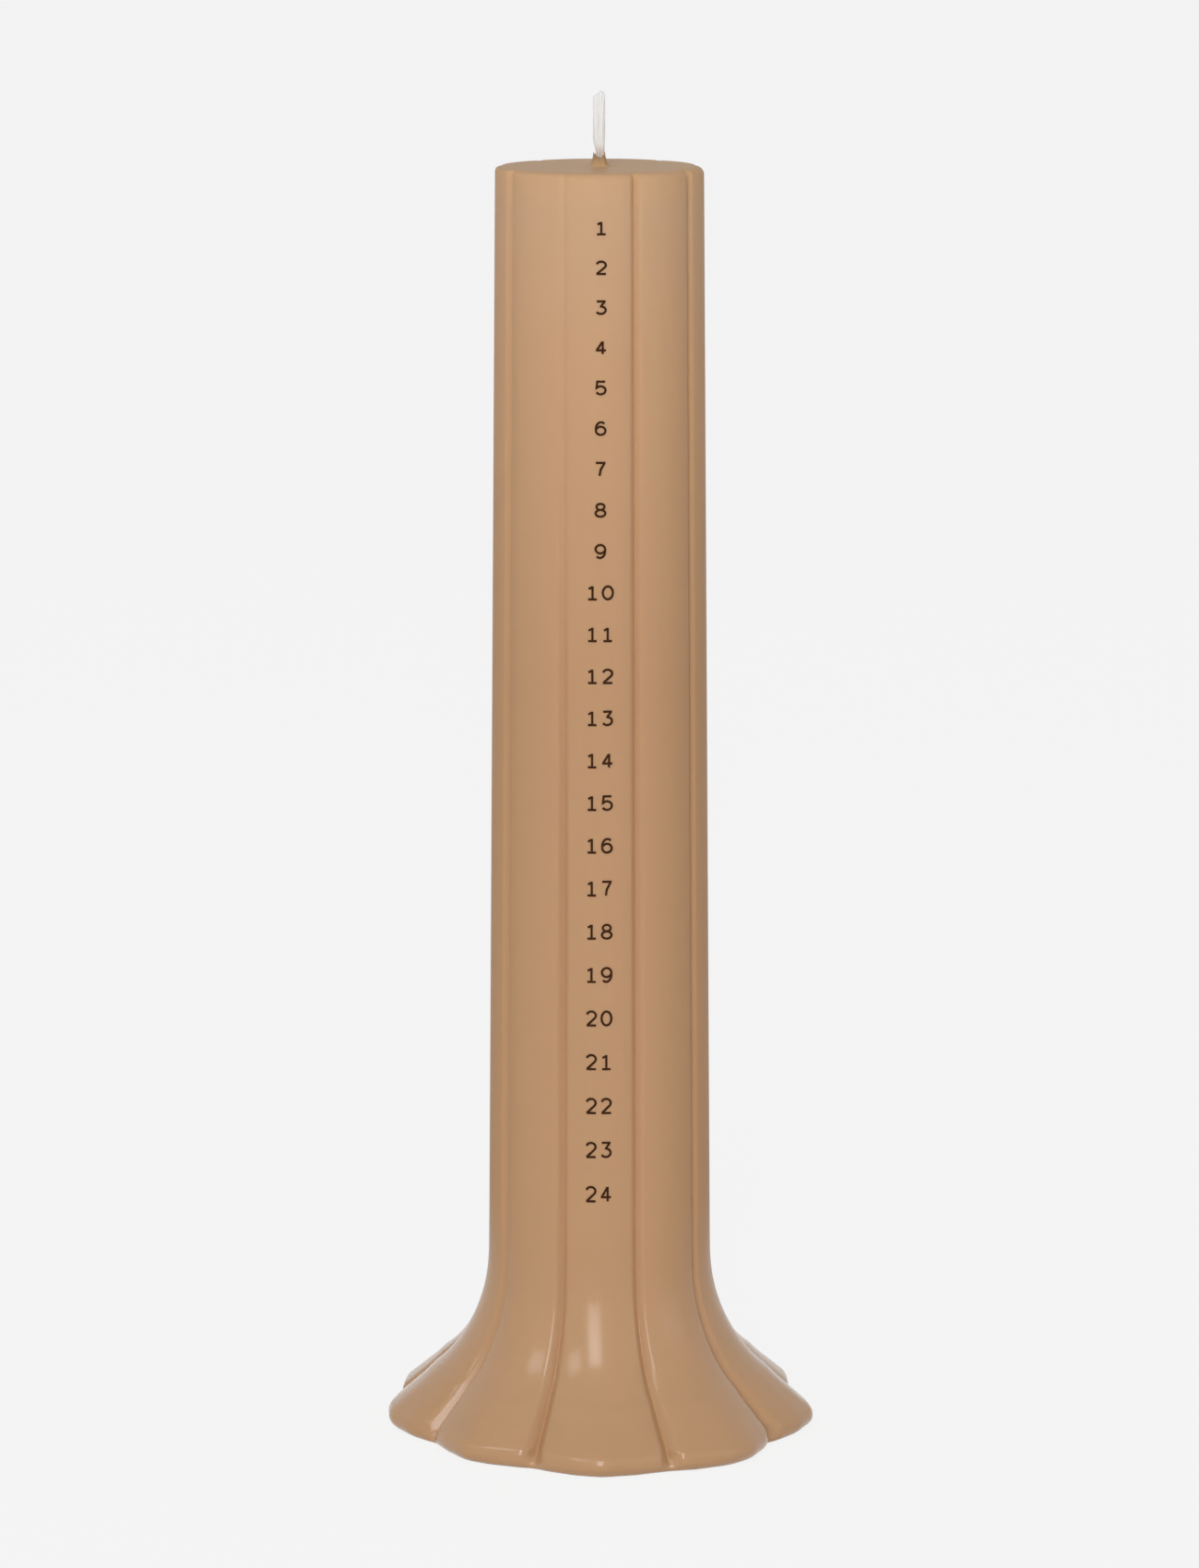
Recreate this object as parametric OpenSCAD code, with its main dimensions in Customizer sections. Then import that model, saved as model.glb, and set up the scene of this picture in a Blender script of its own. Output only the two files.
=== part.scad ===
// Calendar candle: a tall fluted pillar on a flared, pleated foot, with the
// days 1 to 24 printed down the front pleat. It burns from one mark to the
// next each day. Nothing on it moves.
// Z is up, the base rests on z = 0, and the printed front faces -Y.

/* [Column] */
// Height of the wax, from the table to the flat top
candle_h = 290; // [250:1:330]
// Radius at the pleat crests just under the top edge
top_r = 23.4; // [21:0.1:25]
// Radius at the pleat crests where the column starts to flare
column_r = 25.6; // [25:0.1:30]
// Rounding of the top edge
edge_round = 1.8; // [1:0.1:3]

/* [Foot] */
// Radius at the pleat crests of the rim
foot_r = 49; // [44:0.5:54]
// Slope of the flared skirt, in degrees from upright
flank_angle = 50; // [42:1:56]
// Hollow rounding where the column runs out into the skirt
neck_round = 36; // [24:1:40]
// Rounding of the thick rim
rim_round = 2.8; // [2:0.1:4]
// Extra reach of each pleat at the rim, from the front one round by the right
pleat_reach = [-0.4, 0.8, 0.9, 0.7, 0.4, 0.8, 1.1, 0.4, -1.8]; // [-2:0.1:2]

/* [Pleats] */
// Number of pleats round the candle
pleats = 9; // [7:1:12]
// How far the front pleat is turned to the right of the printed numbers, in degrees
pleat_phase = 0.2; // [-2:0.1:2]
// Depth of the hollows between the pleats on the column, without the crease
column_groove = 0.6; // [0.3:0.1:2]
// Depth of each hollow at the rim, from the one right of the front pleat round by the right
foot_grooves = [2.3, 3.9, 5.2, 3.9, 3.9, 3.9, 2.6, 4.7, 4.8]; // [1.5:0.1:6]
// Fullness of the pleats on the column: the higher, the narrower the hollows
column_fullness = 2.5; // [2:0.1:5]
// Fullness of the pleats at the rim
foot_fullness = 1.35; // [1.2:0.05:3]
// Depth of the narrow crease in each hollow on the column
column_crease = 1; // [0.6:0.1:2]
// Depth of the crease at the rim
rim_crease = 2.8; // [1:0.1:4]
// Height over which the crease runs out towards the table
crease_rise = 4; // [3:0.5:12]
// Share of a pleat's half width at which the crease starts
crease_from = 0.85; // [0.75:0.01:0.92]
// Share of a pleat's half width over which the bottom of its hollow is rounded
groove_soft = 0.09; // [0.05:0.01:0.15]

/* [Coat] */
// Thickness of the coloured dip coat
coat_t = 0.6; // [0.3:0.1:0.9]
// How far the coat laps in under the rim
coat_lap = 1.2; // [0.5:0.1:3]
// Height of the wax cone that the dip leaves round the wick
collar_h = 3.4; // [1:0.1:5]
// Radius of that cone where it meets the top
collar_r = 2.4; // [2.1:0.1:4]
// Wall of wax left at the tip of that cone
collar_wall = 0.25; // [0.15:0.05:0.5]

/* [Wick] */
// Diameter of the braided wick where it is soaked in wax
wick_d = 2.8; // [2.2:0.1:3.4]
// How much slimmer the dry stub is
stub_slim = 0.2; // [0.15:0.05:0.5]
// Length of wick standing above the wax cone
stub_h = 13.3; // [8:0.1:20]
// Lean of that stub to the left, in degrees
stub_lean = 2; // [0:0.5:6]
// Diameter of the tin disc that anchors the wick
disc_d = 20; // [14:0.5:26]
// Thickness of that disc
disc_t = 0.3; // [0.2:0.05:0.6]
// Height of the neck crimped round the wick
neck_h = 6; // [3:0.5:10]
// Wall of that neck
neck_wall = 0.35; // [0.2:0.05:0.6]
// Rim of wax plug beyond the disc
fill_margin = 2; // [1:0.5:4]
// Depth of the wax plug that seals the base
fill_h = 3; // [2:0.5:6]

/* [Numbers] */
// How many days are printed
days = 24; // [12:1:24]
// Distance from the top of the candle to the middle of the first number
first_drop = 11.8; // [8:0.1:14]
// Distance from the foot of the column up to the middle of the last number
last_rise = 19.5; // [12:0.1:26]
// What each further distance adds, because the candle gets thicker
pitch_growth = 0.073; // [0:0.001:0.08]
// Height of the first number
digit_h = 3.2; // [2.8:0.1:3.6]
// What each further number adds to its height
digit_growth = 0.028; // [0:0.002:0.04]
// Width of one digit
digit_w = 2.75; // [2.4:0.05:2.9]
// Distance between the middles of the two digits of a number
digit_pitch = 3.4; // [3.2:0.05:3.8]
// Line width of the digits
stroke = 0.5; // [0.3:0.02:0.56]
// Thickness of the ink
ink_t = 0.12; // [0.06:0.02:0.3]
// Lean of the printed strip to the right, in degrees
print_lean = 0.17; // [-0.4:0.01:0.4]

/* [Hidden] */
// Points across one pleat, crowded towards its grooves
pleat_steps = 12;
crowding = 1.73;
// How quickly the pleats fill out above the rim
fullness_ease = 0.5;
// Share of a hollow's depth that is left where the rim meets the table
base_groove = 0.86;
// Rings of points up each part of the outline
rim_rings = 4;
flank_rings = 2;
neck_rings = 6;
run_rings = 2;
edge_rings = 3;
// Straight pieces in a quarter turn of a digit's curve
curve_steps = 3;
// Steps that the ink may reach from the crest of the front pleat to each side
ink_steps = 2;
// Facets round the wick, and round the disc and the plug
wick_facets = 48;
disc_facets = 96;
// How far a cut runs on past the face that it opens
overcut = 1;
// Ends of a path that lie closer together than this make it a ring
ring_gap = 0.001;
// Length of the stub that runs down into the wick's thicker part
stub_root = 0.5;

pleat_turn = 360 / pleats;
ring_points = pleats * pleat_steps;
rim_centre_r = foot_r - rim_round;
neck_centre_r = column_r + neck_round;
flank_start_r = rim_centre_r + rim_round * cos(flank_angle);
flank_start_z = rim_round + rim_round * sin(flank_angle);
flank_run = (flank_start_r - neck_centre_r + neck_round * cos(flank_angle)) / sin(flank_angle);
neck_z = neck_round * sin(flank_angle) + flank_start_z + flank_run * cos(flank_angle);
run_top_z = neck_z + neck_round * sin(flank_angle);
edge_z = candle_h - edge_round;
first_pitch = (candle_h - first_drop - last_rise - neck_z) / (days - 1) - pitch_growth * (days - 2) / 2;
neck_d = wick_d + 2 * neck_wall;
fill_d = disc_d + 2 * fill_margin;
cone_top_z = candle_h + collar_h;

CAST_WAX = "#D2B08A";
COLOURED_WAX = "#C0966C";
PLUG_WAX = "#DCC3A4";
COTTON = "#F1F0EC";
TIN = "#C9CCCF";
INK = "#3B2618";

function number_name(day) = str("numeral_", day < 10 ? "0" : "", day);

// The outline, as [radius at the crests, height] from the rim up to the top
// edge. The inset draws it that much further in, square to the surface.
function rim_arc(inset) = [
    for (i = [0:rim_rings])
        let(turn = -90 + (flank_angle + 90) * i / rim_rings, r = rim_round - inset)
            [rim_centre_r + r * cos(turn), rim_round + r * sin(turn)]
];
function neck_arc(inset) = [
    for (i = [0:neck_rings])
        let(turn = flank_angle * (1 - i / neck_rings), r = neck_round + inset)
            [neck_centre_r - r * cos(turn), neck_z - r * sin(turn)]
];
function flank_line(inset) =
    let(low = rim_arc(inset)[rim_rings], high = neck_arc(inset)[0])
        [for (i = [1:flank_rings - 1]) low + (high - low) * i / flank_rings];
function column_line(inset) = [
    for (i = [1:run_rings])
        let(z = neck_z + (run_top_z - neck_z) * i / run_rings)
            [column_r + (top_r - column_r) * (z - neck_z) / (edge_z - neck_z) - inset, z]
];
function edge_arc(inset) = [
    for (i = [0:edge_rings])
        let(turn = 90 * i / edge_rings, r = edge_round - inset)
            [top_r - edge_round + r * cos(turn), edge_z + r * sin(turn)]
];
function outline(inset) =
    concat(rim_arc(inset), flank_line(inset), neck_arc(inset), column_line(inset), edge_arc(inset));

// How far the skirt has spread at a radius, from 0 on the column to 1 at the rim
function spread(r) = min(1, max(0, (r - column_r) / (foot_r - column_r)));

// Depth of a hollow: it grows as the skirt spreads, and shallows out a little
// from the rim's middle down to the table
function hollow_depth(at, foot_groove) =
    let(rounded = base_groove + (1 - base_groove) * min(1, at[1] / rim_round))
        (column_groove + (foot_groove - column_groove) * spread(at[0])) * rounded;

// Smooth step from 0 to 1
function eased(t) =
    let(s = min(1, max(0, t)))
        s * s * (3 - 2 * s);

// Depth of the crease: it deepens as the skirt spreads, and runs out towards
// the table
function crease_depth(at) =
    (column_crease + (rim_crease - column_crease) * spread(at[0])) * eased(at[1] / crease_rise);

// Place across a pleat, from -1 in one groove through 0 on the crest to 1
function across(step) =
    let(t = 2 * step / pleat_steps - 1)
        sign(t) * (1 - pow(1 - abs(t), crowding));

// Share of the hollow's depth at a place across the pleat: it steepens from
// the crest and rounds off at the bottom
function fold(u, full) =
    let(past = max(0, abs(u) - 1 + groove_soft))
        (pow(abs(u), full) - full * past * past / (2 * groove_soft)) / (1 - full * groove_soft / 2);

// Share of the crease's depth at a place across the pleat: a straight V
function notch(u) = max(0, (abs(u) - crease_from) / (1 - crease_from));

// One point of a ring: the crest radius less the nearer hollow and crease, plus
// the pleat's reach
function pleat_point(at, pleat, step, lift) =
    let(u = across(step),
        out = spread(at[0]),
        full = column_fullness + (foot_fullness - column_fullness) * pow(out, fullness_ease),
        groove = (u < 0 ? pleat + pleats - 1 : pleat) % pleats,
        hollow = hollow_depth(at, foot_grooves[groove % len(foot_grooves)]) * fold(u, full),
        crease = crease_depth(at) * notch(u),
        reach = pleat_reach[pleat % len(pleat_reach)] * out * (1 - u * u),
        r = at[0] - hollow - crease + reach + lift,
        turn = pleat_phase + pleat_turn * (pleat + u / 2))
        [r * sin(turn), -r * cos(turn), at[1]];
function ring(at) = [
    for (pleat = [0:pleats - 1])
        for (step = [0:pleat_steps - 1])
            pleat_point(at, pleat, step, 0)
];

// Faces between two rings that start at point a and point b, b above a
function band(a, b) = [
    for (i = [0:ring_points - 1])
        let(j = (i + 1) % ring_points)
            for (f = [[a + i, b + j, a + j], [a + i, b + i, b + j]]) f
];
function flipped(faces) = [for (f = faces) [f[2], f[1], f[0]]];
function bands(first, count) = [
    for (i = [0:count - 2])
        for (f = band(first + i * ring_points, first + (i + 1) * ring_points)) f
];
function rise(start) = [for (i = [0:ring_points - 1]) start + i];
function fall(start) = [for (i = [1:ring_points]) start + ring_points - i];

core_rings = concat([[rim_centre_r - coat_lap, 0]], outline(coat_t));
coat_rings = outline(0);

// The cast body without its bores
module core_shape() {
    count = len(core_rings);
    polyhedron(
        points = [for (at = core_rings) for (p = ring(at)) p],
        faces = concat([rise(0)], bands(0, count), [fall((count - 1) * ring_points)])
    );
}

// Cast column and skirt in one piece of wax, bored for the wick and its anchor
module wax_core() {
    color(CAST_WAX)
    difference() {
        core_shape();
        cylinder(d = wick_d, h = candle_h + overcut, $fn = wick_facets);
        translate([0, 0, -overcut]) cylinder(d = fill_d, h = fill_h + overcut, $fn = disc_facets);
        translate([0, 0, fill_h - disc_t]) cylinder(d = disc_d, h = 2 * disc_t, $fn = disc_facets);
        cylinder(d = neck_d, h = fill_h + disc_t + neck_h, $fn = wick_facets);
    }
}

// The skin between the finished surface and the cast core, open underneath
module coat_shape() {
    outer = len(coat_rings);
    inner = len(core_rings);
    inside = outer * ring_points;
    polyhedron(
        points = [for (at = concat(coat_rings, core_rings)) for (p = ring(at)) p],
        faces = concat(
            bands(0, outer), [fall((outer - 1) * ring_points)],
            flipped(bands(inside, inner)), [rise(inside + (inner - 1) * ring_points)],
            band(inside, 0)
        )
    );
}

// Coloured coat that the dip leaves all over the core, drawn up at the wick
module dip_coat() {
    color(COLOURED_WAX)
    difference() {
        union() {
            coat_shape();
            translate([0, 0, candle_h])
                cylinder(r1 = collar_r, r2 = wick_d / 2 + collar_wall, h = collar_h, $fn = wick_facets);
        }
        translate([0, 0, candle_h / 2]) cylinder(d = wick_d, h = candle_h, $fn = wick_facets);
    }
}

// Plug of wax from the second pour, which seals the base
module base_fill() {
    color(PLUG_WAX) cylinder(d = fill_d, h = fill_h, $fn = disc_facets);
}

// Braided cotton wick through the whole candle, with its stub on top
module wick() {
    color(COTTON)
    union() {
        translate([0, 0, fill_h]) cylinder(d = wick_d, h = cone_top_z - fill_h, $fn = wick_facets);
        translate([0, 0, cone_top_z])
            rotate([0, -stub_lean, 0])
                translate([0, 0, -stub_root])
                    cylinder(d = wick_d - stub_slim, h = stub_root + stub_h, $fn = wick_facets);
    }
}

// Tin disc with a neck crimped round the wick, so that it stands up straight
module wick_sustainer() {
    color(TIN)
    translate([0, 0, fill_h])
    difference() {
        union() {
            cylinder(d = disc_d, h = disc_t, $fn = disc_facets);
            cylinder(d = neck_d, h = disc_t + neck_h, $fn = wick_facets);
        }
        translate([0, 0, -overcut])
            cylinder(d = wick_d, h = disc_t + neck_h + 2 * overcut, $fn = wick_facets);
    }
}

// Places of a number: its middle, its height and its sideways shift
function number_z(day) =
    let(n = day - 1)
        candle_h - first_drop - first_pitch * n - pitch_growth * n * (n - 1) / 2;
function number_h(day) = digit_h + digit_growth * (day - 1);
function number_x(day) = (number_z(day) - candle_h / 2) * tan(print_lean);

// A path along an ellipse, from one angle to another
function bend(x, y, rx, ry, from, to) =
    let(steps = ceil(abs(to - from) / 90 * curve_steps))
        [for (i = [0:steps]) let(t = from + (to - from) * i / steps) [x + rx * cos(t), y + ry * sin(t)]];

// The lines of a 6, or with -1 of a 9: the outer sweep, and the rest of the bowl
function curl(way) = [
    for (path = [concat(bend(0.08, 0, 1.03, 1, 50, 180), bend(0, -0.35, 0.95, 0.65, 190, 300)),
                 bend(0, -0.35, 0.95, 0.65, 285, 520)])
        [for (p = path) p * way]
];

// The lines of a digit as paths in a cell that is 2 wide and 2 high, with its
// middle at 0. A path that ends where it starts is a closed ring.
function digit_paths(digit) =
    digit == 0 ? [bend(0, 0, 1, 1, 0, 360)] :
    digit == 1 ? [[[0, -1], [0, 1]], [[0, 0.9], [-0.75, 0.58]], [[-0.85, -1], [0.85, -1]]] :
    digit == 2 ? [concat(bend(0, 0.42, 0.92, 0.58, 165, -35), [[-0.8, -0.95]]), [[-0.95, -1], [0.95, -1]]] :
    digit == 3 ? [[[-0.85, 1], [0.9, 1]], [[0.7, 0.95], [-0.1, 0.15]], bend(-0.05, -0.4, 0.97, 0.6, 100, -150)] :
    digit == 4 ? [[[0.35, -1], [0.35, 1]], [[0.3, 0.95], [-0.85, -0.42]], [[-1, -0.42], [1, -0.42]]] :
    digit == 5 ? [concat([[0.85, 1], [-0.7, 1], [-0.82, 0.02]], bend(-0.03, -0.36, 0.97, 0.64, 115, -150))] :
    digit == 6 ? curl(1) :
    digit == 7 ? [[[-0.95, 1], [0.95, 1]], [[0.75, 0.95], [0, -0.1], [-0.2, -1]]] :
    digit == 8 ? [bend(0, 0.53, 0.8, 0.47, 0, 360), bend(0, -0.47, 0.97, 0.53, 0, 360)] :
    curl(-1);

function unit(v) = v / norm(v);
function left_of(v) = [-v[1], v[0]];
function heading(path, i) = unit(path[i + 1] - path[i]);
function is_ring(path) = norm(path[0] - path[len(path) - 1]) < ring_gap;

// A path moved sideways to its left by a distance, with mitred corners
function beside(path, away) =
    let(last = len(path) - 1, ends = is_ring(path) ? [last - 1, 0] : [0, last - 1])
        [for (i = [0:last])
            let(before = left_of(heading(path, i == 0 ? ends[0] : i - 1)),
                after = left_of(heading(path, i == last ? ends[1] : i)),
                side = unit(before + after))
                path[i] + side * away / (side * before)];
function reversed(list) = [for (i = [1:len(list)]) list[len(list) - i]];

// One line of a digit at its full width: a ring, or a stroke with square ends
module digit_line(path) {
    right = beside(path, -stroke / 2);
    left = beside(path, stroke / 2);
    if (is_ring(path)) {
        difference() {
            polygon([for (i = [1:len(path) - 1]) right[i]]);
            polygon([for (i = [1:len(path) - 1]) left[i]]);
        }
    } else {
        polygon(concat(left, reversed(right)));
    }
}

// A digit whose outer edges fill its width and height
module digit_shape(digit, height) {
    half = [(digit_w - stroke) / 2, (height - stroke) / 2];
    for (path = digit_paths(digit))
        digit_line([for (p = path) [p[0] * half[0], p[1] * half[1]]]);
}

// A layer of ink over the front pleat: its back is the coat's own surface
module ink_layer() {
    rows = concat([[column_r, neck_z]], column_line(0), [[top_r, edge_z]]);
    steps = [pleat_steps / 2 - ink_steps:pleat_steps / 2 + ink_steps];
    wide = 2 * ink_steps + 1;
    sheet = len(rows) * wide;
    function at(lift, row, column) = lift * sheet + row * wide + column;
    polyhedron(
        points = [for (lift = [0, ink_t]) for (row = rows) for (step = steps) pleat_point(row, 0, step, lift)],
        faces = concat(
            [for (row = [0:len(rows) - 2]) for (c = [0:wide - 2]) for (f = [
                [at(1, row, c), at(1, row + 1, c + 1), at(1, row, c + 1)],
                [at(1, row, c), at(1, row + 1, c), at(1, row + 1, c + 1)],
                [at(0, row, c), at(0, row, c + 1), at(0, row + 1, c + 1)],
                [at(0, row, c), at(0, row + 1, c + 1), at(0, row + 1, c)]]) f],
            [for (row = [0:len(rows) - 2]) for (f = [
                [at(0, row, 0), at(0, row + 1, 0), at(1, row + 1, 0)],
                [at(0, row, 0), at(1, row + 1, 0), at(1, row, 0)],
                [at(0, row, wide - 1), at(1, row + 1, wide - 1), at(0, row + 1, wide - 1)],
                [at(0, row, wide - 1), at(1, row, wide - 1), at(1, row + 1, wide - 1)]]) f],
            [for (c = [0:wide - 2]) for (f = [
                [at(0, 0, c), at(1, 0, c), at(1, 0, c + 1)],
                [at(0, 0, c), at(1, 0, c + 1), at(0, 0, c + 1)],
                [at(0, len(rows) - 1, c), at(1, len(rows) - 1, c + 1), at(1, len(rows) - 1, c)],
                [at(0, len(rows) - 1, c), at(0, len(rows) - 1, c + 1), at(1, len(rows) - 1, c + 1)]]) f]
        )
    );
}

// One printed number: its digits, pressed onto the front pleat
module numeral(day) {
    tens = floor(day / 10);
    color(INK)
    intersection() {
        ink_layer();
        translate([number_x(day), 0, number_z(day)])
            rotate([90, 0, 0])
                linear_extrude(column_r + overcut)
                    if (tens > 0) {
                        translate([-digit_pitch / 2, 0]) digit_shape(tens, number_h(day));
                        translate([digit_pitch / 2, 0]) digit_shape(day % 10, number_h(day));
                    } else {
                        digit_shape(day, number_h(day));
                    }
    }
}

wax_core();
dip_coat();
base_fill();
wick();
wick_sustainer();
for (day = [1:days]) numeral(day);
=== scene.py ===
"""A calendar candle: a tall fluted pillar of dipped wax on a flared, pleated foot, with the days
printed down its front. The sections follow the candle as it is made: the cast wax, the plug in
its base, the tin sustainer, the wick, the coloured dip, the printed numbers, and then the room."""
import math

import bpy
import numpy as np
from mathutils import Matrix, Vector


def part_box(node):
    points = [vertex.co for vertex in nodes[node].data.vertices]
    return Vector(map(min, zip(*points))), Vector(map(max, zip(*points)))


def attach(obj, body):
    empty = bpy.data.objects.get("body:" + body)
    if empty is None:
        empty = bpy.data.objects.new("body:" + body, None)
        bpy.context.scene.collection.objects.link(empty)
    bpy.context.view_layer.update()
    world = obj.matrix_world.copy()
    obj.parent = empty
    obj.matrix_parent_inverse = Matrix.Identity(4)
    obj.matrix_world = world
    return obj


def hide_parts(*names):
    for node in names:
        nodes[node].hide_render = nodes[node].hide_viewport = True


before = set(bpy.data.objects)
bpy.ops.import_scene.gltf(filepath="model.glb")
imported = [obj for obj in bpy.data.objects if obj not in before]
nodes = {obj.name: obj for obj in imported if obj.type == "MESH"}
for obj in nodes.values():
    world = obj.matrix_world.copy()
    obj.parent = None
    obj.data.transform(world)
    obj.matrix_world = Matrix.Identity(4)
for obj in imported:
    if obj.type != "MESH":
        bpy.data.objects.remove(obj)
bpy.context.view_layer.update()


# Cast wax: column and skirt are poured in one mould, in a wax that is dyed through a shade
# paler than the dip. It shows only underneath, where the cast was cut flat and stayed dull.

def finish_with(name, colour, roughness):
    """A new material with one Principled shader: the material, its tree and the shader."""
    material = bpy.data.materials.new(name)
    material.use_nodes = True
    shader = material.node_tree.nodes["Principled BSDF"]
    shader.inputs["Base Color"].default_value = (*colour, 1)
    shader.inputs["Roughness"].default_value = roughness
    return material, material.node_tree, shader


def cloud(tree, scale, detail, squeeze=(1, 1, 1)):
    """Soft noise on the piece's own metres, squeezed along each axis, as a factor around 0.5."""
    where = tree.nodes.new("ShaderNodeTexCoord")
    mapping = tree.nodes.new("ShaderNodeMapping")
    mapping.inputs["Scale"].default_value = squeeze
    noise = tree.nodes.new("ShaderNodeTexNoise")
    noise.inputs["Scale"].default_value = scale
    noise.inputs["Detail"].default_value = detail
    tree.links.new(where.outputs["Object"], mapping.inputs["Vector"])
    tree.links.new(mapping.outputs["Vector"], noise.inputs["Vector"])
    return noise.outputs["Fac"]


def ramp(tree, factor, stops):
    """Colours or levels laid over a factor: each stop is (place, colour or level)."""
    node = tree.nodes.new("ShaderNodeValToRGB")
    while len(node.color_ramp.elements) < len(stops):
        node.color_ramp.elements.new(0.5)
    for element, (place, value) in zip(node.color_ramp.elements, stops):
        element.position = place
        element.color = (*value, 1) if isinstance(value, tuple) else (value, value, value, 1)
    tree.links.new(factor, node.inputs["Fac"])
    return node.outputs["Color"]


def emboss(tree, shader, height, distance, strength, under=None):
    """Bump from a height factor, laid over an earlier bump where there is one."""
    node = tree.nodes.new("ShaderNodeBump")
    node.inputs["Distance"].default_value = distance
    node.inputs["Strength"].default_value = strength
    tree.links.new(height, node.inputs["Height"])
    if under is not None:
        tree.links.new(under, node.inputs["Normal"])
    tree.links.new(node.outputs["Normal"], shader.inputs["Normal"])
    return node.outputs["Normal"]


def scatter(shader, weight, radius, scale):
    """Light that enters the wax and comes out nearby, further for red than for blue."""
    shader.subsurface_method = "BURLEY"
    shader.inputs["Subsurface Weight"].default_value = weight
    shader.inputs["Subsurface Radius"].default_value = radius
    shader.inputs["Subsurface Scale"].default_value = scale


def refinish(node, material):
    """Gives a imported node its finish."""
    node.data.materials.clear()
    node.data.materials.append(material)


cast_wax, tree, shader = finish_with("cast_wax", (0.56, 0.37, 0.23), 0.55)
scatter(shader, 0.6, (1.0, 0.55, 0.3), 0.0015)
mottle = ramp(tree, cloud(tree, 90, 4), [(0.3, (0.52, 0.34, 0.20)), (0.7, (0.60, 0.41, 0.26))])
tree.links.new(mottle, shader.inputs["Base Color"])
emboss(tree, shader, cloud(tree, 260, 2, (1, 6, 1)), 0.00015, 0.5)
refinish(nodes["wax_core"], cast_wax)


# Plug: undyed wax poured into the recess under the sustainer to seal it. It sets with a dull,
# slightly crystalline skin.

plug_wax, tree, shader = finish_with("plug_wax", (0.72, 0.56, 0.40), 0.5)
scatter(shader, 0.6, (1.0, 0.65, 0.4), 0.0015)
crystals = ramp(tree, cloud(tree, 700, 5),
                [(0.35, (0.68, 0.51, 0.35)), (0.65, (0.76, 0.61, 0.45))])
tree.links.new(crystals, shader.inputs["Base Color"])
emboss(tree, shader, cloud(tree, 900, 3), 0.0001, 0.4)
refinish(nodes["base_fill"], plug_wax)


# Sustainer: a disc of thin tinplate with a neck, stamped in one and crimped round the wick.
# Its rolled sheet has a fine grain across it.

tin, tree, shader = finish_with("tin", (0.72, 0.73, 0.74), 0.35)
shader.inputs["Metallic"].default_value = 1.0
grain = ramp(tree, cloud(tree, 1500, 2, (1, 12, 1)), [(0.3, 0.28), (0.7, 0.42)])
tree.links.new(grain, shader.inputs["Roughness"])
refinish(nodes["wick_sustainer"], tin)


# Wick: undyed cotton yarns laid up in two plies, cut uneven at the top. Inside the candle the
# wick is soaked through with wax, and at the cone its yarns are drawn together and waxed.

coat_thickness = 0.0006
candle_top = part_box("wax_core")[1].z + coat_thickness
plug_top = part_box("wick")[0].z
wick_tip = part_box("wick")[1].z
wick_radius = 0.0014
soaked_top = candle_top - 0.0003
soaked_rings, soaked_sides = 30, 24
yarn_rings, yarn_sides = 72, 12
yarn_radius, yarn_twist, yarn_sway = 0.00042, 2.2, 0.00004
yarn_root = candle_top - 0.0005
ply_spacing, ply_radius, ply_depth, ply_behind = 0.00054, 0.00036, 1.3, 0.0002
drawn_from, drawn_to = candle_top + 0.0016, candle_top + 0.0062
root_share, root_shift = 0.62, 0.0004
tuft, tuft_least = 0.0006, 0.02
uneven_cut, uneven_place = 0.0006, 0.25
# Each ply: its side, how many yarns it has, and how much shorter it is cut.
plies = ((-1, 6, 0.0007), (1, 7, 0.0))


def smooth(t):
    """Smooth step from 0 to 1: three t squared less two t cubed, level outside that range."""
    t = np.clip(t, 0, 1)
    return t * t * (3 - 2 * t)


def tube(path, radius, sides):
    """A tube whose rings lie level: each ring is its path's point plus the radius there times the
    cosine and sine of the angle. A flat face closes each end."""
    turn = np.linspace(0, 2 * np.pi, sides, endpoint=False)
    ring = np.stack([np.cos(turn), np.sin(turn), 0 * turn], -1)
    points = path[:, None, :] + radius[:, None, None] * ring
    rings = len(path)
    start = np.arange(rings - 1)[:, None] * sides
    here = start + np.arange(sides)
    after = start + (np.arange(sides) + 1) % sides
    faces = np.stack([here, after, after + sides, here + sides], -1)
    bottom = np.arange(sides)[::-1]
    top = (rings - 1) * sides + np.arange(sides)
    return points.reshape(-1, 3), list(faces.reshape(-1, 4)) + [bottom, top]


def joined(parts):
    """Several meshes as one: points stacked, and each mesh's faces moved up by those before."""
    points, faces, before = [], [], 0
    for part_points, part_faces in parts:
        points.append(part_points)
        faces += [face + before for face in part_faces]
        before += len(part_points)
    return np.concatenate(points), faces


def build(name, points, faces, material, slot, *stands_for):
    """A smooth-shaded piece from points and faces, on the candle's one body."""
    mesh = bpy.data.meshes.new(name)
    mesh.from_pydata(points.tolist(), [], [face.tolist() for face in faces])
    mesh.shade_smooth()
    mesh.materials.append(material)
    piece = bpy.data.objects.new(name, mesh)
    bpy.context.collection.objects.link(piece)
    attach(piece, "root")
    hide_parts(*stands_for)


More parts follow.
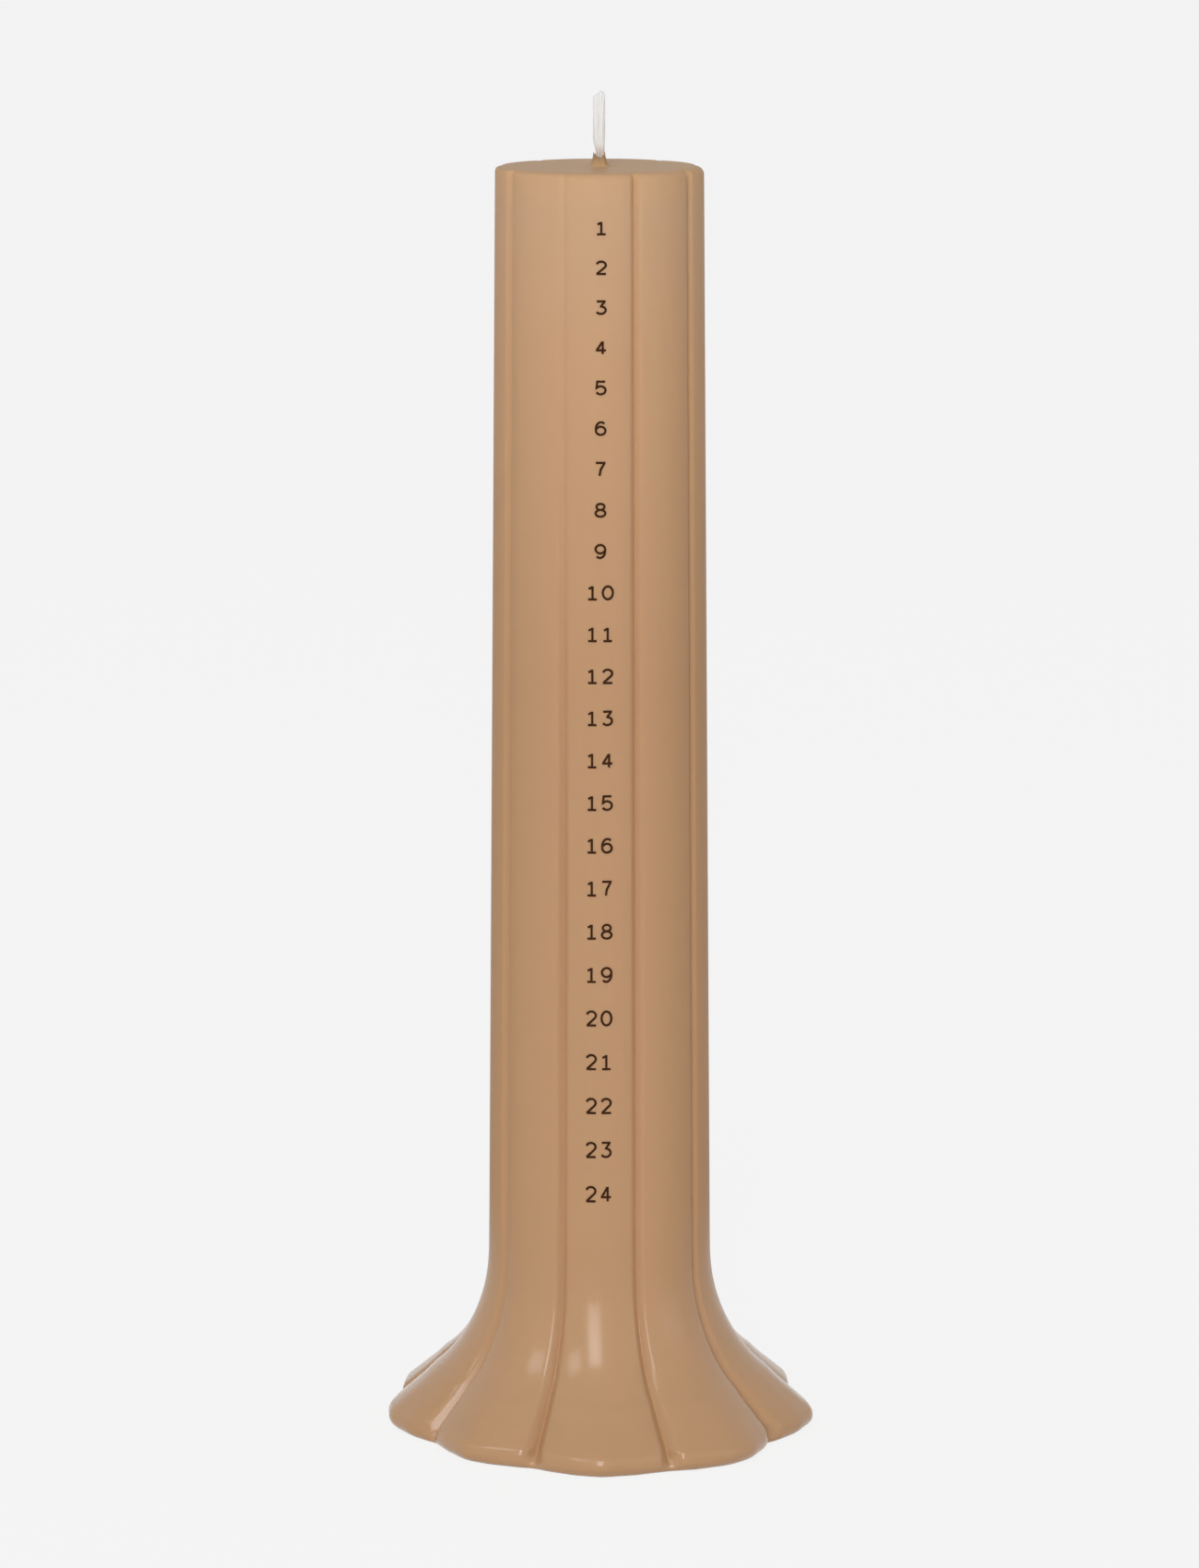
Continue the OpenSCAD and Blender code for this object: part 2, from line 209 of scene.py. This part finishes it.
def yarn(side, place, twist, short):
    """One yarn of a ply: it circles its ply's middle as it climbs, with a slight sway. Towards the
    root it is drawn in to the middle of the wick and over to the right by a smooth step. Its cut
    end narrows by the square root of what is left of it."""
    climb = np.linspace(0, 1, yarn_rings)
    height = yarn_root + climb * (wick_tip - short - yarn_root)
    full = smooth((height - drawn_from) / (drawn_to - drawn_from))
    share = root_share + (1 - root_share) * full
    around = place + twist * climb
    sway = yarn_sway * np.sin(9 * climb + 3 * place)
    across = (side * ply_spacing + ply_radius * np.cos(around) + sway) * share
    depth = (ply_radius * ply_depth * np.sin(around) - side * ply_behind) * share
    middle = root_shift * (1 - full) - root_shift / 4
    path = np.stack([middle + across, depth, height], -1)
    end = np.clip((1 - climb) * (wick_tip - yarn_root) / tuft, tuft_least, 1) ** 0.5
    return tube(path, yarn_radius * (0.4 + 0.6 * share) * end, yarn_sides)


draw = np.random.default_rng(24)
parts = []
for side, count, shortest in plies:
    for i in range(count):
        place = 2 * math.pi * i / count + draw.uniform(-uneven_place, uneven_place)
        short = shortest + draw.uniform(0, uneven_cut)
        parts.append(yarn(side, place, yarn_twist * side, short))
height = np.linspace(plug_top, soaked_top, soaked_rings)
axis = np.stack([0 * height, 0 * height, height], -1)
parts.append(tube(axis, np.full(soaked_rings, wick_radius), soaked_sides))
wick_points, wick_faces = joined(parts)


def by_height(tree, low, high, at_low, at_high, smooth_step=False):
    """A level that runs from at_low to at_high as the piece's own height goes from low to high."""
    where = tree.nodes.new("ShaderNodeTexCoord")
    split = tree.nodes.new("ShaderNodeSeparateXYZ")
    level = tree.nodes.new("ShaderNodeMapRange")
    level.interpolation_type = "SMOOTHSTEP" if smooth_step else "LINEAR"
    level.inputs["From Min"].default_value = low
    level.inputs["From Max"].default_value = high
    level.inputs["To Min"].default_value = at_low
    level.inputs["To Max"].default_value = at_high
    tree.links.new(where.outputs["Object"], split.inputs["Vector"])
    tree.links.new(split.outputs["Z"], level.inputs["Value"])
    return level.outputs["Result"]


cotton, tree, shader = finish_with("cotton", (0.80, 0.79, 0.77), 0.85)
shader.inputs["Sheen Weight"].default_value = 0.3
shader.inputs["Sheen Roughness"].default_value = 0.5
fibres = cloud(tree, 3000, 3, (1, 1, 0.06))
pale = ramp(tree, fibres, [(0.3, (0.80, 0.80, 0.79)), (0.6, (0.90, 0.90, 0.89))])
waxed = tree.nodes.new("ShaderNodeMix")
waxed.data_type = "RGBA"
waxed.inputs["B"].default_value = (0.60, 0.50, 0.42, 1)
soaked = by_height(tree, candle_top + 0.0028, candle_top + 0.0048, 0.75, 0.0)
tree.links.new(soaked, waxed.inputs["Factor"])
tree.links.new(pale, waxed.inputs["A"])
tree.links.new(waxed.outputs["Result"], shader.inputs["Base Color"])
emboss(tree, shader, fibres, 0.00008, 0.8)
build("braided_wick", wick_points, wick_faces, cotton, "cotton", "wick")


# Coloured coat: the cast is dipped in dyed wax, which rounds off every groove, stands in a torn
# cone round the wick and laps in under the rim. It is satin on the column, glossy on the foot.

pleats, steps_across, bunching = 9, 36, 1.6
pleat_phase = math.radians(0.2)
pleat_reach = np.array([-0.4, 0.8, 0.9, 0.7, 0.4, 0.8, 1.1, 0.4, -1.8]) / 1000
foot_grooves = np.array([2.3, 3.9, 5.2, 3.9, 3.9, 3.9, 2.6, 4.7, 4.8]) / 1000
top_radius, column_radius, foot_radius = 0.0234, 0.0256, 0.049
edge_round, rim_round, neck_round = 0.0018, 0.0028, 0.036
flank = 50
rim_rings, slope_rings, neck_rings, column_rings, edge_rings = 24, 10, 40, 110, 16
eased_rings, eased_times = slice(30, 110), 30
column_groove, base_groove, groove_soft = 0.0006, 0.86, 0.09
column_fullness, foot_fullness, fullness_ease = 2.5, 1.35, 0.5
column_crease, rim_crease, crease_rise, crease_from = 0.0010, 0.0028, 0.004, 0.85
filled_share, filled_from, filled_to = 0.65, 0.12, 0.25
swell = 0.0001
square_share, square_turn = 0.5, 1.4
disc_rings, cone_rings = 8, 14
cone_foot, cone_tip, cone_curve, cone_waver = 0.0022, 0.0013, 1.7, 0.00012
tear_least, tear_sides, tear_points = 0.0018, 0.0008, 0.0005
lip_width, lip_drop = 0.0002, 0.0001
coat_lap = 0.0012
inner_step = 4

rim_middle = foot_radius - rim_round
neck_middle = column_radius + neck_round
slope_sin, slope_cos = math.sin(math.radians(flank)), math.cos(math.radians(flank))
flank_radius = rim_middle + rim_round * slope_cos
flank_height = rim_round + rim_round * slope_sin
flank_run = (flank_radius - neck_middle + neck_round * slope_cos) / slope_sin
neck_height = neck_round * slope_sin + flank_height + flank_run * slope_cos
edge_height = candle_top - edge_round
edge_turn = np.radians(np.linspace(0, 90, edge_rings))


def outline(inset):
    """Radius and height along the crests from the rim up: a small circle, a straight flank, a
    large hollow circle, the straight taper of the column and a small circle at the top edge."""
    turn = np.radians(np.linspace(-90, flank, rim_rings))
    rim = np.stack([rim_middle + (rim_round - inset) * np.cos(turn),
                    rim_round + (rim_round - inset) * np.sin(turn)], -1)
    turn = np.radians(np.linspace(flank, 0, neck_rings))
    neck = np.stack([neck_middle - (neck_round + inset) * np.cos(turn),
                     neck_height - (neck_round + inset) * np.sin(turn)], -1)
    along = np.linspace(0, 1, slope_rings + 2)[1:-1, None]
    slope = rim[-1] + (neck[0] - rim[-1]) * along
    height = np.linspace(neck_height, edge_height, column_rings + 2)[1:-1]
    share = (height - neck_height) / (edge_height - neck_height)
    column = np.stack([column_radius + (top_radius - column_radius) * share - inset, height], -1)
    edge = np.stack([top_radius - edge_round + (edge_round - inset) * np.cos(edge_turn),
                     edge_height + (edge_round - inset) * np.sin(edge_turn)], -1)
    return np.concatenate([rim, slope, neck, column, edge])


def fold(u, full):
    """Share of a depth at a place across the pleat: |u| to the power of the fullness, eased off
    near |u| = 1 so that the groove's bottom is round, and divided to make it 1 there."""
    past = np.maximum(0, np.abs(u) - 1 + groove_soft)
    eased_off = full * past ** 2 / (2 * groove_soft)
    return (np.abs(u) ** full - eased_off) / (1 - full * groove_soft / 2)


def pleated(profile):
    """The outline carried round the candle. At a share u of a pleat's half width the radius loses
    the nearer groove's depth times the fold of the pleat, loses the crease by a straight V that
    starts near |u| = 1, and gains the pleat's reach times 1 - u squared. Depth, fullness and
    reach change with the height and with how far the skirt has spread. The last groove, left of
    the front pleat, is partly filled by the dip towards the top, by a smooth step."""
    radius, height = profile[:, 0, None], profile[:, 1, None]
    step = np.arange(pleats * steps_across)
    pleat = step // steps_across
    t = 2 * (step % steps_across) / steps_across - 1
    u = np.sign(t) * (1 - (1 - np.abs(t)) ** bunching)
    groove = np.where(u < 0, pleat - 1, pleat) % pleats
    spread = np.clip((radius - column_radius) / (foot_radius - column_radius), 0, 1)
    full = column_fullness + (foot_fullness - column_fullness) * spread ** fullness_ease
    rounded = base_groove + (1 - base_groove) * np.minimum(1, height / rim_round)
    depth = (column_groove + (foot_grooves[groove] - column_groove) * spread) * rounded
    crease = (column_crease + (rim_crease - column_crease) * spread) * smooth(height / crease_rise)
    notch = np.clip((np.abs(u) - crease_from) / (1 - crease_from), 0, 1)
    filled = smooth((height - filled_from) / (filled_to - filled_from)) * (groove == pleats - 1)
    lost = (depth * fold(u, full) + crease * notch) * (1 - filled_share * filled)
    reach = pleat_reach[pleat] * spread * (1 - u ** 2)
    turn = pleat_phase + 2 * np.pi / pleats * (pleat + u / 2)
    return radius - lost + reach, turn + 0 * height, height + 0 * turn


def eased(radius, times):
    """Every ring but the ends takes half its own radius and a quarter of each neighbour's, over
    and over, which rounds off the turn where the skirt runs into the column."""
    for _ in range(times):
        radius[1:-1] = radius[1:-1] / 2 + (radius[:-2] + radius[2:]) / 4
    return radius


outer_radius, outer_turn, outer_height = pleated(outline(0))
inner_radius, _, inner_height = pleated(outline(coat_thickness))
lap_radius, _, lap_height = pleated(np.array([[rim_middle - coat_lap, 0.0]]))
turn = outer_turn[0]
outer_radius[eased_rings] = eased(outer_radius[eased_rings], eased_times)
inner_radius[eased_rings] = eased(inner_radius[eased_rings], eased_times)

# Small swells along the rim, and a squarer top edge on the left, by a power of the arc's sine.
spread = np.clip((outer_radius - column_radius) / (foot_radius - column_radius), 0, 1)
outer_radius += swell * spread ** 3 * (np.sin(17 * turn + 1.3) + np.sin(41 * turn + 0.4))
edge = slice(-edge_rings, None)
square = 1 - square_share * np.clip(np.cos(turn + square_turn), 0, 1) ** 4
for values, arc in ((outer_radius, np.cos(edge_turn)), (outer_height, np.sin(edge_turn))):
    arc = np.clip(arc, 0, 1)[:, None]
    values[edge] += edge_round * (arc ** square - arc)

# The flat top runs in from the edge to the cone, and the cone climbs the wick in torn points.
# Its bore narrows onto the gathered yarns and widens again to the wick inside the candle.
inward = np.linspace(0, 1, disc_rings + 1)[1:, None]
disc_radius = outer_radius[-1] * (1 - inward) + cone_foot * inward
disc_height = outer_height[-1] * (1 - inward) + candle_top * inward
climb = np.linspace(0, 1, cone_rings + 1)[1:, None]
tears = (tear_least + tear_sides * np.sin(turn) ** 2
         + tear_points * (1 - np.abs(np.sin(4.5 * turn + 0.5))) ** 2)
cone_radius = (cone_tip + (cone_foot - cone_tip) * (1 - climb) ** cone_curve
               + cone_waver * climb * np.cos(5 * turn + 2))
cone_height = candle_top + tears * climb
bore = np.array([(0.00112, 0.0014), (0.0008, 0.0008), (0.0008, 0.0002),
                 (wick_radius, -0.0002), (wick_radius, -0.0006)])
bore_radius = bore[:, :1] + 0 * turn
bore_height = candle_top + bore[:, 1:] + 0 * turn

# One closed shell: up the outside, over the top and down the bore, then down the inner wall,
# which nobody sees and which takes only every fourth ring.
shell_radius = np.concatenate([
    lap_radius, outer_radius, disc_radius, cone_radius, cone_radius[-1:] - lip_width,
    bore_radius, inner_radius[::-inner_step]])
shell_height = np.concatenate([
    lap_height, outer_height, disc_height, cone_height, cone_height[-1:] - lip_drop,
    bore_height, inner_height[::-inner_step]])
coat_points = np.stack([shell_radius * np.sin(turn), -shell_radius * np.cos(turn),
                        shell_height], -1)
rings, around = shell_radius.shape
row = np.arange(rings)[:, None] * around
next_row = (np.arange(rings)[:, None] + 1) % rings * around
column = np.arange(around)
next_column = (column + 1) % around
coat_faces = np.stack([row + column, row + next_column,
                       next_row + next_column, next_row + column], -1)

coloured_wax, tree, shader = finish_with("coloured_wax", (0.52, 0.305, 0.165), 0.45)
shader.inputs["Specular IOR Level"].default_value = 0.02
shader.inputs["Coat Roughness"].default_value = 0.18
shader.inputs["Coat IOR"].default_value = 1.46
scatter(shader, 0.6, (1.0, 0.7, 0.5), 0.0005)
# Colour by height: a shade deeper on the foot, darker on the cone, and paler up the upper column
# and over the top edge. That paler top is painted light, standing in for stronger light up there.
dye_and_painted_light = ramp(tree, by_height(tree, 0.0, candle_top + 0.003, 0.0, 1.0),
           [(0.03, (0.500, 0.280, 0.140)), (0.18, (0.530, 0.306, 0.169)),
            (0.60, (0.515, 0.294, 0.162)), (0.85, (0.560, 0.330, 0.186)),
            (0.96, (0.575, 0.354, 0.214)), (0.99, (0.600, 0.368, 0.205)),
            (0.995, (0.40, 0.25, 0.14))])
streaks = ramp(tree, cloud(tree, 110, 3, (1, 1, 0.04)),
               [(0.3, (0.975, 1.0, 0.96)), (0.7, (1.0, 1.0, 1.0))])
dye_light_and_streaks = tree.nodes.new("ShaderNodeMix")
dye_light_and_streaks.data_type = "RGBA"
dye_light_and_streaks.blend_type = "MULTIPLY"
dye_light_and_streaks.inputs["Factor"].default_value = 1.0
tree.links.new(dye_and_painted_light, dye_light_and_streaks.inputs["A"])
tree.links.new(streaks, dye_light_and_streaks.inputs["B"])
tree.links.new(dye_light_and_streaks.outputs["Result"], shader.inputs["Base Color"])
shine = by_height(tree, 0.01, 0.06, 1.0, 0.05, smooth_step=True)
tree.links.new(shine, shader.inputs["Coat Weight"])
ripple = emboss(tree, shader, cloud(tree, 120, 2, (1, 1, 0.2)), 0.0002, 0.25)
emboss(tree, shader, cloud(tree, 1200, 2), 0.00003, 0.3, ripple)
build("dipped_coat", coat_points.reshape(-1, 3), coat_faces.reshape(-1, 4), coloured_wax,
      "coloured_wax", "dip_coat")


# Printed numbers: dark brown ink, stamped on the front pleat from a band of type. The ink lies
# flat and a little uneven on the wax.

ink, tree, shader = finish_with("ink", (0.045, 0.017, 0.006), 0.7)
shader.inputs["Specular IOR Level"].default_value = 0.05
uneven = ramp(tree, cloud(tree, 1800, 3),
              [(0.35, (0.035, 0.013, 0.005)), (0.7, (0.065, 0.025, 0.009))])
tree.links.new(uneven, shader.inputs["Base Color"])
for name, node in nodes.items():
    if name.startswith("numeral_"):
        refinish(node, ink)


# Room: a plain pale floor, clear from below, under an even pale sky; a tall soft lamp in front,
# a small one to the left for the glint on that pleat and a wide weak one to the right. The
# camera looks slightly down from above the height of the candle's top.

backdrop_level = 0.913
floor_albedo, floor_share, floor_glow = 0.85, 0.9, 0.947
floor_reach, floor_height = 40, -0.00005


def seen_directly(tree):
    """1 where the camera, a reflection or a clear material sees a surface, 0 for soft light."""
    path = tree.nodes.new("ShaderNodeLightPath")
    seen = path.outputs["Is Camera Ray"]
    for kind in ("Is Glossy Ray", "Is Transmission Ray"):
        either = tree.nodes.new("ShaderNodeMath")
        either.operation = "MAXIMUM"
        tree.links.new(seen, either.inputs[0])
        tree.links.new(path.outputs[kind], either.inputs[1])
        seen = either.outputs[0]
    return seen


def crossed(tree, factor, first, second):
    """The first shader where the factor is 0 and the second where it is 1."""
    node = tree.nodes.new("ShaderNodeMixShader")
    tree.links.new(factor, node.inputs["Fac"])
    tree.links.new(first, node.inputs[1])
    tree.links.new(second, node.inputs[2])
    return node.outputs[0]


world = bpy.data.worlds.new("room")
bpy.context.scene.world = world
world.use_nodes = True
tree = world.node_tree
sky = tree.nodes["Background"]
sky.inputs["Color"].default_value = (1, 1, 1, 1)
sky.inputs["Strength"].default_value = 0.46
backdrop = tree.nodes.new("ShaderNodeBackground")
backdrop.inputs["Color"].default_value = (backdrop_level, backdrop_level, backdrop_level, 1)
room = crossed(tree, seen_directly(tree), sky.outputs[0], backdrop.outputs[0])
tree.links.new(room, tree.nodes["World Output"].inputs["Surface"])

mesh = bpy.data.meshes.new("floor")
corners = [(x * floor_reach, y * floor_reach, floor_height)
           for x, y in ((-1, -1), (1, -1), (1, 1), (-1, 1))]
mesh.from_pydata(corners, [], [(0, 1, 2, 3)])
floor = bpy.data.objects.new("floor", mesh)
bpy.context.collection.objects.link(floor)
paper, tree, shader = finish_with("paper", (floor_albedo, floor_albedo, floor_albedo), 0.9)
shader.inputs["Specular IOR Level"].default_value = 0.0
glow = tree.nodes.new("ShaderNodeEmission")
glow.inputs["Color"].default_value = (floor_glow, floor_glow, floor_glow, 1)
share = tree.nodes.new("ShaderNodeMath")
share.operation = "MULTIPLY"
share.inputs[1].default_value = floor_share
tree.links.new(seen_directly(tree), share.inputs[0])
lit = crossed(tree, share.outputs[0], shader.outputs[0], glow.outputs[0])
underside = tree.nodes.new("ShaderNodeNewGeometry").outputs["Backfacing"]
clear = tree.nodes.new("ShaderNodeBsdfTransparent").outputs[0]
tree.links.new(crossed(tree, underside, lit, clear),
               tree.nodes["Material Output"].inputs["Surface"])
mesh.materials.append(paper)


def softbox(name, azimuth, elevation, distance, width, height, radiance, aim):
    """A rectangular lamp turned to face a point on the candle. Its power is its radiance times
    pi times its area."""
    data = bpy.data.lights.new(name, "AREA")
    data.shape = "RECTANGLE"
    data.size, data.size_y = width, height
    data.energy = radiance * math.pi * width * height
    lamp = bpy.data.objects.new(name, data)
    a, e = math.radians(azimuth), math.radians(elevation)
    away = np.array([math.sin(a) * math.cos(e), -math.cos(a) * math.cos(e), math.sin(e)])
    lamp.location = np.array([0, 0, aim]) + away * distance
    lamp.rotation_euler = (math.radians(90) - e, 0, a)
    lamp.visible_camera = False
    bpy.context.collection.objects.link(lamp)


softbox("front_softbox", -8, 22, 1.6, 0.48, 1.25, 5.7, 0.1)
softbox("right_softbox", 65, 4, 1.6, 1.1, 1.1, 0.55, 0.15)
softbox("left_softbox", -44, 36, 1.6, 0.5, 0.36, 3.2, 0.04)

camera = bpy.data.objects.new("camera", bpy.data.cameras.new("camera"))
camera.location = (0, -1.241, 0.3856)
camera.rotation_euler = (math.radians(90 - 10.764), 0, 0)
camera.data.sensor_width = 36
camera.data.lens = 127.34
camera.data.clip_start = 0.05
bpy.context.collection.objects.link(camera)
bpy.context.scene.camera = camera
bpy.context.scene.view_settings.view_transform = "Standard"
